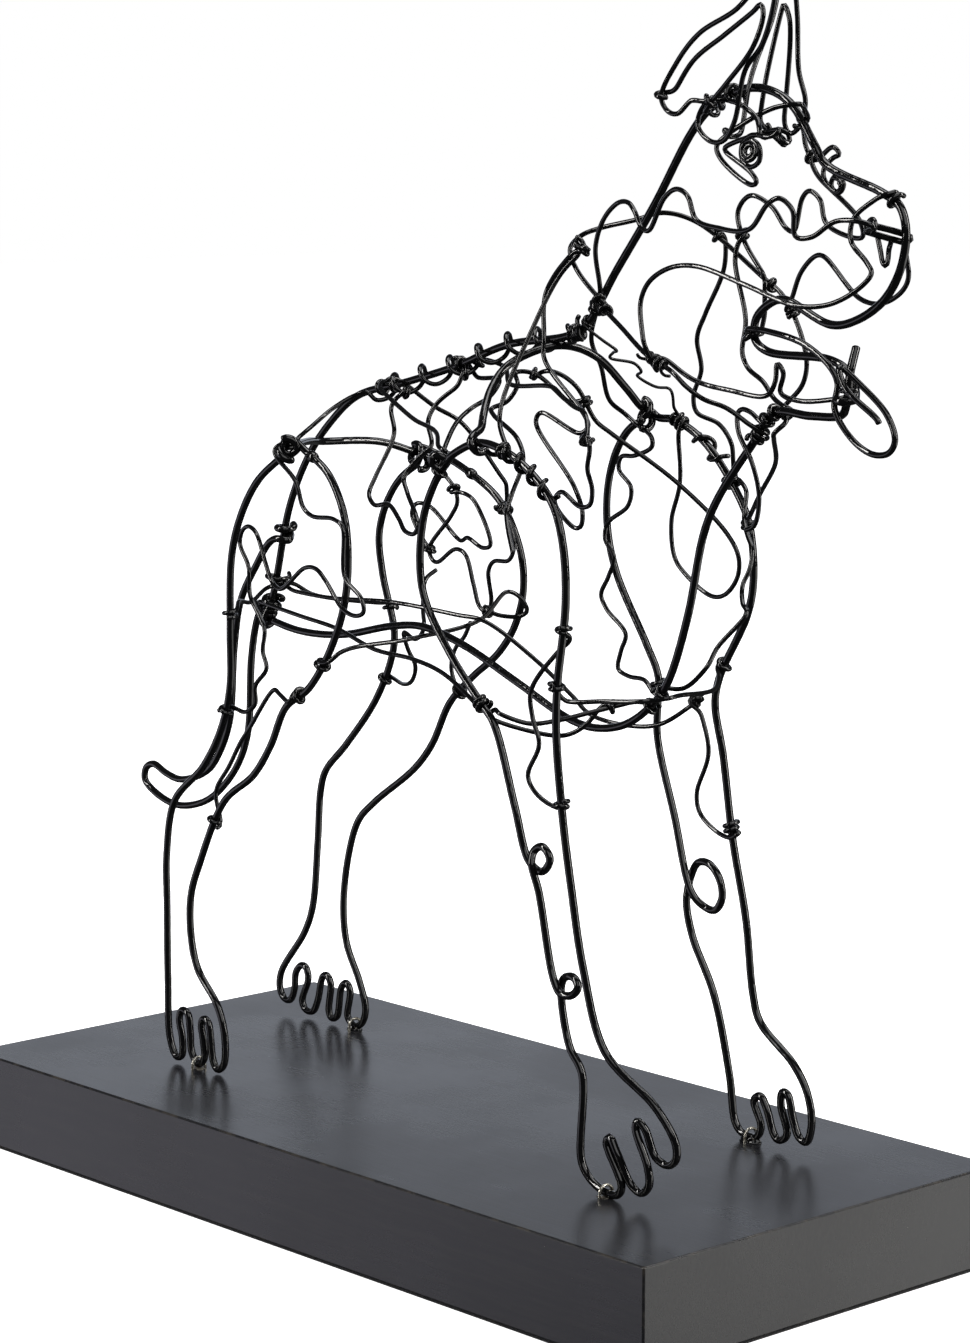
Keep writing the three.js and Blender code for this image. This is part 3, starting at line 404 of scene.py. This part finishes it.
def felt_material():
    """Thin black felt with a short nap."""
    shader = Shader("felt")
    nap = shader.noise(3200, 5)
    tint = shader.blended(nap, (0.004, 0.004, 0.004), (0.03, 0.03, 0.032))
    shader.link(tint, shader.surface.inputs["Base Color"])
    shader.link(shader.bump(nap, 0.3 * MM), shader.surface.inputs["Normal"])
    shader.set(Roughness=0.95, Sheen_Weight=0.3)
    return shader.material


ENAMEL = enamel_material()
STEEL = steel_material()
GLUE = glue_material()
PAINT = plinth_material()
FELT = felt_material()


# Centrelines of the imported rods
def section_reach(diameter, sides):
    """How far a rod's corners stand from its middle, with as much metal as in the round wire."""
    step = 2 * math.pi / sides
    return diameter / 2 * math.sqrt(step / math.sin(step))


def in_section(corners, reach, sides):
    """Whether all the edges of a face are chords of the rod's section."""
    chords = [2 * reach * math.sin(math.pi * k / sides) for k in range(1, sides // 2 + 1)]
    edges = [np.linalg.norm(corners[k] - corners[k - 1]) for k in range(len(corners))]
    return all(min(abs(edge / chord - 1) for chord in chords) < CHORD_FIT for edge in edges)


def welded(mesh):
    corners = np.array([v.co for v in mesh.vertices])
    cells = np.round(corners / WELD).astype(np.int64)
    _, first, index = np.unique(cells, axis=0, return_index=True, return_inverse=True)
    index = index.reshape(-1)
    return corners[first], [[int(index[v]) for v in face.vertices] for face in mesh.polygons]


def sections_from(cap, near):
    """The rod's sections as sets of corners: each is one edge further away from the cap."""
    sections, seen = [cap], set(cap)
    while True:
        level = set().union(*(near[i] for i in sections[-1])) - seen
        if not level:
            return sections
        sections.append(level)
        seen |= level


def centreline(node):
    """The rod's centres from one end to the other, and its wire's diameter.

    The edges of an end cap are all chords of the section, which tells the caps from the sides."""
    points, faces = welded(frame["nodes"][node].data)
    near = {i: set() for i in range(len(points))}
    for face in faces:
        for i in face:
            near[i] |= set(face)
    for diameter, sides in GAUGES:
        reach = section_reach(diameter, sides)
        flat = [set(face) for face in faces if in_section(points[face], reach, sides)]
        for face in flat:
            cap = set(face)
            for _ in range(sides):
                cap |= set().union(*(other for other in flat if len(cap & other) == 2))
            sections = sections_from(cap, near)
            if all(len(section) == sides for section in sections):
                return np.array([points[sorted(section)].mean(axis=0) for section in sections]), diameter
    raise ValueError(f"{node} isn't a rod of a known gauge")


def lengths_along(points):
    return np.concatenate([[0.0], np.cumsum(np.linalg.norm(np.diff(points, axis=0), axis=1))])


def respaced(points, spacing=RING_STEP):
    """The same line with evenly spaced points."""
    along = lengths_along(points)
    count = max(2, int(round(along[-1] / spacing)) + 1)
    wanted = np.linspace(0, along[-1], count)
    return np.stack([np.interp(wanted, along, points[:, k]) for k in range(3)], axis=1)


def smooth_line(points, per_span=SPLINE_POINTS):
    """A centripetal spline through the points."""
    padded = np.vstack([2 * points[0] - points[1], points, 2 * points[-1] - points[-2]])
    out = []
    for i in range(len(points) - 1):
        p = padded[i : i + 4]
        knots = np.concatenate([[0.0], np.cumsum(np.sqrt(np.linalg.norm(np.diff(p, axis=0), axis=1)))])
        t = np.linspace(knots[1], knots[2], per_span, endpoint=False)[:, None]

        def lerp(a, b, t0, t1):
            return a * ((t1 - t) / (t1 - t0)) + b * ((t - t0) / (t1 - t0))

        firsts = [lerp(p[k], p[k + 1], knots[k], knots[k + 1]) for k in range(3)]
        seconds = [lerp(firsts[k], firsts[k + 1], knots[k], knots[k + 2]) for k in range(2)]
        out.append(lerp(seconds[0], seconds[1], knots[1], knots[2]))
    return respaced(np.vstack(out + [points[-1:]]))


# Bindings
def unit(v):
    return v / max(np.linalg.norm(v), 1e-12)


def carried_frames(line):
    """Tangents, and a pair of side directions that turn with the line as little as they can."""
    tangents = np.gradient(line, axis=0)
    tangents /= np.linalg.norm(tangents, axis=1)[:, None]
    side = unit(np.cross(tangents[0], (0, 0, 1) if abs(tangents[0][2]) < 0.9 else (0, 1, 0)))
    sides = []
    for tangent in tangents:
        side = unit(side - tangent * side.dot(tangent))
        sides.append(side)
    sides = np.array(sides)
    return tangents, sides, np.cross(tangents, sides)


def routed(*point):
    """A place in metres, from millimetres above the plinth's top."""
    return np.array(point) * MM + (0, 0, PLINTH_TOP)


class Wire:
    """A wire's centreline with its side directions, its gauge, and the node it is packed as, if any."""

    def __init__(self, name, line, gauge, node=None):
        self.name = name
        self.node = node
        self.core = line  # the line without its binding turns
        self.gauge = gauge
        self.diameter = gauge * ENAMELLED
        self.tangents, self.sides, self.ups = carried_frames(line)

    @classmethod
    def packed(cls, node):
        centres, gauge = centreline(node)
        return cls(node, smooth_line(centres), gauge, node)

    def place_near(self, point):
        return int(np.argmin(np.linalg.norm(self.core - point, axis=1)))


def nearest_carrier(wire, end, wires):
    """The wire that this end can be wound round, with the place along it."""
    tip = wire.core[end]
    chosen, turns = CHOSEN_ENDS.get((wire.name, end), ("nearest", TURNS[wire.gauge]))
    if chosen is None:
        return None
    if chosen != "nearest":
        carrier = wire_named(chosen)
        return carrier, carrier.place_near(tip), turns
    best = None
    for other in wires:
        gaps = np.linalg.norm(other.core - tip, axis=1) - (other.diameter + wire.diameter) / 2
        if other is wire:
            along = np.arange(len(gaps))
            own = along if end == 0 else len(gaps) - 1 - along
            gaps[own * RING_STEP < OWN_REACH] = math.inf
        place = int(np.argmin(gaps))
        score = gaps[place] - (THICKER_FIRST if other.diameter > wire.diameter else 0)
        if gaps[place] < REACH_FOR_CARRIER and (best is None or score < best[0]):
            best = (score, other, place)
    return (best[1], best[2], turns) if best else None


def bound_end(wire, end, carrier, place, turns):
    """The wire's points at this end, wound round the carrier. The last point is the wire's very end."""
    own = wire.core if end else wire.core[::-1]
    run = int(RUN_IN / RING_STEP)
    radius = (carrier.diameter + wire.diameter) / 2 + TOUCH
    along, across, up = carrier.tangents[place], carrier.sides[place], carrier.ups[place]
    middle = carrier.core[place]

    def polar(point):
        off = point - middle
        return math.atan2(off.dot(up), off.dot(across)), math.hypot(off.dot(across), off.dot(up))

    leave = len(own) - 1
    while leave > max(3, len(own) - run) and polar(own[leave])[1] < NEAR_CARRIER * radius:
        leave -= 1
    start = own[leave]
    heading = unit(own[min(leave + 2, len(own) - 1)] - own[leave - 2])
    moment = along.dot(np.cross(start - middle, heading))
    sense = 1 if moment >= 0 else -1
    angle, distance = polar(start)
    swing = math.acos(min(1.0, radius / max(distance, radius)))
    first = angle + sense * swing
    drift = heading.dot(along)
    advance = 1 if drift >= 0 else -1
    pitch = wire.diameter * TURN_PITCH
    count = int(turns * TURN_POINTS)
    coil = []
    for k in range(count + 1):
        share = k / TURN_POINTS
        travelled = advance * pitch * share / RING_STEP
        at = min(max(place + travelled, 0), len(carrier.core) - 1)
        low = int(at)
        high = min(low + 1, len(carrier.core) - 1)
        blend = at - low
        centre = carrier.core[low] * (1 - blend) + carrier.core[high] * blend
        overrun = (place + travelled - at) * RING_STEP
        centre = centre + carrier.tangents[low] * overrun
        turn = first + sense * 2 * math.pi * share
        lifted = radius + CUT_END_LIFT * max(0.0, 1 - (count - k) / (TURN_POINTS / 4))
        out = math.cos(turn) * carrier.sides[low] + math.sin(turn) * carrier.ups[low]
        coil.append(centre + lifted * out)
    coil = np.array(coil)
    # A short straight run joins the wire to its first turn, and the join is then eased.
    gap = np.linalg.norm(coil[0] - start)
    steps = max(2, int(gap / RING_STEP))
    bridge = [start + (coil[0] - start) * (k / steps) for k in range(1, steps)]
    joined = np.vstack([own[: leave + 1], *([np.array(bridge)] if bridge else []), coil])
    low, high = max(leave - 4, 1), min(leave + len(bridge) + 2, len(joined) - 2)
    for _ in range(EASINGS):
        middle_run = joined[low : high + 1]
        eased = (joined[low - 1 : high] + 2 * middle_run + joined[low + 1 : high + 2]) / 4
        joined[low : high + 1] = eased
    return joined if end else joined[::-1]


# Round wires
def tube(name, line, diameter, wobble=WOBBLE, swells=None):
    """A closed round rod along a line, with slightly rounded cut ends."""
    tangents, sides, ups = carried_frames(line)
    radius = diameter / 2
    last = len(line) - 1
    stations = [
        (line[0], 0, CUT_FACE),
        (line[0] + tangents[0] * radius * CUT_SETBACK, 0, CUT_RIM),
        *((line[i], i, 1.0) for i in range(1, last)),
        (line[-1] - tangents[-1] * radius * CUT_SETBACK, last, CUT_RIM),
        (line[-1], last, CUT_FACE),
    ]
    vertices, faces = [], []
    phase = len(name) * 1.7
    for number, (centre, i, share) in enumerate(stations):
        swell = 1 + wobble * noise.noise(Vector((i * 0.35 + phase, phase, 0)))
        swell *= swells[i] if swells else 1
        for k in range(ROUND_SIDES):
            turn = 2 * math.pi * k / ROUND_SIDES
            out = math.cos(turn) * sides[i] + math.sin(turn) * ups[i]
            vertices.append(centre + out * radius * share * swell)
        if number:
            base = (number - 1) * ROUND_SIDES
            for k in range(ROUND_SIDES):
                after = (k + 1) % ROUND_SIDES
                faces.append((base + k, base + after, base + ROUND_SIDES + after, base + ROUND_SIDES + k))
    faces.append(tuple(range(ROUND_SIDES))[::-1])
    faces.append(tuple(range(len(vertices) - ROUND_SIDES, len(vertices))))
    return mesh_piece(name, vertices, faces)


def mesh_piece(name, vertices, faces):
    mesh = bpy.data.meshes.new(name)
    mesh.from_pydata([tuple(v) for v in vertices], [], faces)
    mesh.validate()
    mesh.shade_smooth()
    piece = bpy.data.objects.new(name, mesh)
    bpy.context.scene.collection.objects.link(piece)
    return piece


def finished(piece, material, slot, *nodes):
    piece.data.materials.clear()
    piece.data.materials.append(material)
    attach(piece, "root")
    if nodes:
        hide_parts(*nodes)
    return piece


wires = [Wire.packed(node) for node in WIRE_NODES]


def loosen(coil, carrier, further):
    """Moves a coil's turns further out from the wire that they go round, and its ends less."""
    count = len(coil.core)
    for k, point in enumerate(coil.core):
        out = point - carrier.core[carrier.place_near(point)]
        uneven = 0.6 + 0.8 * abs(noise.noise(Vector((k * 0.02, 7, 0))))
        share = math.sin(math.pi * k / (count - 1)) ** 0.5 * uneven
        coil.core[k] = point + unit(out) * further * share
    coil.core = respaced(coil.core)
    coil.tangents, coil.sides, coil.ups = carried_frames(coil.core)


loosen(wires[WIRE_NODES.index("spine_coil_wire")], wires[0], 1.1 * MM)
for name, (gauge, points) in SHORT_WIRES.items():
    wires.append(Wire(name, smooth_line(np.array([routed(*p) for p in points])), gauge))


def wire_named(name):
    return next(wire for wire in wires if wire.name == name)


def coiled_in(wire, middle, turns, last_radius):
    """The points of a flat spiral that goes on from the wire's first point, round a middle."""
    out = wire.core[0] - middle
    heading = wire.core[0] - wire.core[3]
    across = unit(out)
    axis = unit(np.cross(across, heading))
    along = np.cross(axis, across)
    radius = np.linalg.norm(out)
    spiral = []
    for k in range(1, int(turns * TURN_POINTS) + 1):
        turn = 2 * math.pi * k / TURN_POINTS
        share = k / (turns * TURN_POINTS)
        reach = radius * (1 - share) + last_radius * share
        spiral.append(middle + reach * (math.cos(turn) * across + math.sin(turn) * along))
    return np.array(spiral[::-1])


def dress_wires():
    """Winds the ends of every wire round their carriers, and makes its round rod."""
    for wire in wires:
        line = wire.core
        half = len(wire.core) // 2
        for end in (0, -1):
            found = nearest_carrier(wire, end, wires)
            if found is None:
                continue
            bound = bound_end(wire, end, *found)
            if end == 0:
                line = np.vstack([bound[: len(bound) - half], line[-half:]])
            else:
                line = np.vstack([line[: len(line) - (len(wire.core) - half)], bound[half:]])
        if wire.name in EYES:
            middle, turns, last_radius = EYES[wire.name]
            line = np.vstack([coiled_in(wire, routed(*middle), turns, last_radius), line])
        piece = tube(wire.name + "_round", respaced(line), wire.diameter)
        finished(piece, ENAMEL, "black_enamel", *([wire.node] if wire.node else []))


def winding(name, carrier_name, start, stop, turns, gauge, loose):
    """A wire wound along a carrier, a little unevenly, with both ends sticking out."""
    carrier = wire_named(carrier_name)
    first, last = (carrier.place_near(routed(*point)) for point in (start, stop))
    radius = (carrier.diameter + gauge * ENAMELLED) / 2 + TOUCH
    count = int(turns * TURN_POINTS)
    seed = len(name) * 3.1
    line = []
    for k in range(count + 1):
        share = k / count
        uneven = noise.noise(Vector((k * 0.16, seed, 0)))
        at = first + (last - first) * share + uneven * WANDER / RING_STEP
        low = min(max(int(at), 0), len(carrier.core) - 2)
        centre = carrier.core[low] + (carrier.core[low + 1] - carrier.core[low]) * (at - low)
        turn = 2 * math.pi * k / TURN_POINTS + uneven
        slack = loose * MM * (0.6 + 0.8 * abs(noise.noise(Vector((k * 0.11, seed, 5)))))
        flare = FLARE * max(0, abs(2 * share - 1) * turns - turns + FLARED_TURNS) / FLARED_TURNS
        out = math.cos(turn) * carrier.sides[low] + math.sin(turn) * carrier.ups[low]
        line.append(centre + out * (radius + slack + flare))
    piece = tube(name, respaced(smooth_line(np.array(line), 4)), gauge * ENAMELLED)
    finished(piece, ENAMEL, "black_enamel")


def lump(name, carrier_name, point, length=5.0 * MM, swell=0.55 * MM):
    """A spindle of enamel round a wire."""
    carrier = wire_named(carrier_name)
    middle = carrier.place_near(routed(*point))
    reach = int(length / 2 / RING_STEP)
    core = carrier.core[max(middle - reach, 0) : middle + reach + 1]
    profile = []
    for k in range(len(core)):
        share = abs(2 * k / (len(core) - 1) - 1)
        uneven = 1 + 0.25 * noise.noise(Vector((k * 0.9, len(name), 0)))
        profile.append(1 + 2 * swell * (1 - share**2) * uneven / carrier.diameter)
    finished(tube(name, core, carrier.diameter * 1.01, swells=profile), ENAMEL, "black_enamel")


dress_wires()
for name, details in WINDINGS.items():
    winding(name, *details)
for name, (carrier_name, point) in LUMPS.items():
    lump(name, carrier_name, point)


# Plinth, felt and staples
def rounded_box(name, low, high, radius, segments=4):
    mesh = bmesh.new()
    bmesh.ops.create_cube(mesh, size=1)
    size, middle = high - low, (high + low) / 2
    for v in mesh.verts:
        v.co = Vector([v.co[k] * size[k] + middle[k] for k in range(3)])
    bmesh.ops.bevel(mesh, geom=mesh.edges[:], offset=radius, segments=segments, profile=0.5, affect="EDGES")
    data = bpy.data.meshes.new(name)
    mesh.to_mesh(data)
    mesh.free()
    data.shade_smooth()
    piece = bpy.data.objects.new(name, data)
    bpy.context.scene.collection.objects.link(piece)
    even = piece.modifiers.new("even shading", "WEIGHTED_NORMAL")
    even.keep_sharp = False
    even.weight = 100
    return piece


finished(rounded_box("plinth_block", plinth_low, plinth_high, 0.7 * MM), PAINT, "plinth_paint", "plinth")
felt_low, felt_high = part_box("felt_sheet")
finished(rounded_box("felt_pad", felt_low, felt_high, 0.25 * MM, 2), FELT, "felt", "felt_sheet")


def staple(node):
    """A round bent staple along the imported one."""
    centres, diameter = centreline(node)
    piece = tube(node + "_round", smooth_line(centres), diameter * PRESSED, STAPLE_WOBBLE)
    finished(piece, STEEL, "bright_steel", node)
    return Vector(centres[0]), Vector(centres[-1])


def blob(name, middle, size, material, slot, rough=0.35):
    """A drop that has set on the plinth: a flat rounded lump with an uneven rim."""
    shape = bmesh.new()
    bmesh.ops.create_icosphere(shape, subdivisions=4, radius=1)
    seed = len(name) * 2.3
    for v in shape.verts:
        out = v.co.normalized()
        reach = 1 + rough * noise.noise(out * 1.4 + Vector((seed, 0, 0)))
        reach += rough / 3 * noise.noise(out * 4.5)
        v.co = Vector((out.x * size[0], out.y * size[1], out.z * size[2])) * reach + middle
        v.co.z = max(v.co.z, PLINTH_TOP + 0.02 * MM)
    bmesh.ops.dissolve_degenerate(shape, edges=shape.edges, dist=1e-6)
    data = bpy.data.meshes.new(name)
    shape.to_mesh(data)
    shape.free()
    data.shade_smooth()
    piece = bpy.data.objects.new(name, data)
    bpy.context.scene.collection.objects.link(piece)
    finished(piece, material, slot)


def foot_fixing(node, glue_size, dark):
    """A staple, and the glue or enamel that has run round its two feet."""
    first, last = staple(node)
    middle = (first + last) / 2
    middle.z = PLINTH_TOP
    size = Vector(glue_size) * MM
    if dark:
        blob(node + "_enamel", middle, size, ENAMEL, "black_enamel")
        glue_middle = middle + Vector(GLUE_OFFSET) * MM
        blob(node + "_glue", glue_middle, size * GLUE_SHARE, GLUE, "bright_steel")
    else:
        blob(node + "_glue", middle, size, GLUE, "bright_steel", GLUE_ROUGHNESS)


foot_fixing("right_front_staple", (2.4, 1.7, 0.4), False)
foot_fixing("left_front_staple", (3.6, 2.4, 2.1), True)
foot_fixing("right_hind_staple", (2.2, 1.6, 0.5), False)
foot_fixing("left_hind_staple", (2.6, 1.9, 1.5), True)


# Stage, light and camera
def stage_floor():
    bpy.ops.mesh.primitive_plane_add(size=STAGE_SIZE, location=(0, 0, 0))
    floor = bpy.context.object
    floor.name = "floor"
    shader = Shader("pale_floor")
    shader.set(Base_Color=(0.9, 0.9, 0.9, 1), Roughness=0.9)
    shader.surface.inputs["Emission Color"].default_value = (1, 1, 1, 1)
    shader.surface.inputs["Emission Strength"].default_value = 1.0
    floor.data.materials.append(shader.material)
    floor.visible_glossy = False
    floor.visible_shadow = False
    floor.visible_diffuse = False


def backdrop():
    """A white dome round the stage, seen by the camera and left out of the reflections and the light."""
    bpy.ops.mesh.primitive_uv_sphere_add(segments=48, ring_count=24, radius=STAGE_SIZE)
    dome = bpy.context.object
    dome.name = "backdrop"
    shader = Shader("white_backdrop")
    shader.set(Base_Color=(0, 0, 0, 1), Roughness=1.0)
    shader.surface.inputs["Emission Color"].default_value = (1, 1, 1, 1)
    shader.surface.inputs["Emission Strength"].default_value = 1.0
    dome.data.materials.append(shader.material)
    dome.visible_diffuse = False
    dome.visible_glossy = False
    dome.visible_shadow = False
    dome.visible_transmission = False


def softbox(name, direction, distance, width, height, power, colour=(1, 1, 1)):
    light = bpy.data.lights.new(name, "AREA")
    light.shape = "RECTANGLE"
    light.size = width
    light.size_y = height
    light.energy = power
    light.color = colour
    lamp = bpy.data.objects.new(name, light)
    towards = Vector(direction).normalized()
    lamp.location = towards * distance + Vector((0, 0, 0.15))
    lamp.visible_camera = False
    lamp.rotation_euler = towards.to_track_quat("Z", "Y").to_euler()
    bpy.context.scene.collection.objects.link(lamp)


def world():
    sky = bpy.data.worlds.new("studio")
    sky.use_nodes = True
    background = sky.node_tree.nodes["Background"]
    background.inputs["Color"].default_value = (0.93, 0.96, 1.0, 1)
    background.inputs["Strength"].default_value = 0.05
    bpy.context.scene.world = sky


def camera():
    """The photograph's view."""
    data = bpy.data.cameras.new("camera")
    data.sensor_fit = "VERTICAL"
    data.sensor_height = SENSOR
    data.lens = SENSOR * FOCAL_PIXELS / PHOTO_HEIGHT
    data.clip_start = 0.01
    data.clip_end = 100
    turn, fall, roll = (math.radians(a) for a in CAMERA_ANGLES)
    eye = bpy.data.objects.new("camera", data)
    look = Matrix.Rotation(turn, 4, "Z") @ Matrix.Rotation(math.pi / 2 - fall, 4, "X")
    eye.matrix_world = Matrix.Translation(CAMERA_PLACE) @ look @ Matrix.Rotation(roll, 4, "Z")
    bpy.context.scene.collection.objects.link(eye)
    bpy.context.scene.camera = eye


stage_floor()
backdrop()
world()
softbox("front", (0.95, -0.5, 0.75), 1.6, 1.3, 1.0, 7.6)
softbox("left_strip", (-0.45, -1.0, 0.55), 1.6, 0.16, 1.3, 17, (1.0, 0.98, 0.95))
softbox("right_strip", (1.0, 0.55, 0.5), 1.6, 0.18, 1.3, 17, (1.0, 0.98, 0.95))
softbox("top", (0.05, 0.1, 1), 1.5, 0.8, 0.8, 10)
softbox("far", (-0.74, 0.67, 0.13), 2.4, 2.6, 0.9, 5.9, (0.82, 0.88, 1.0))
softbox("left_low", (-0.74, -0.67, -0.25), 1.6, 1.6, 0.7, 3.5, (0.9, 0.88, 1.0))
softbox("right_low", (0.74, 0.67, -0.25), 1.6, 1.6, 0.7, 6.5, (1.0, 0.99, 0.96))
softbox("edge", (0.15, 0.67, 0.74), 1.8, 0.6, 0.4, 4)
camera()
bpy.context.scene.view_settings.view_transform = "Standard"
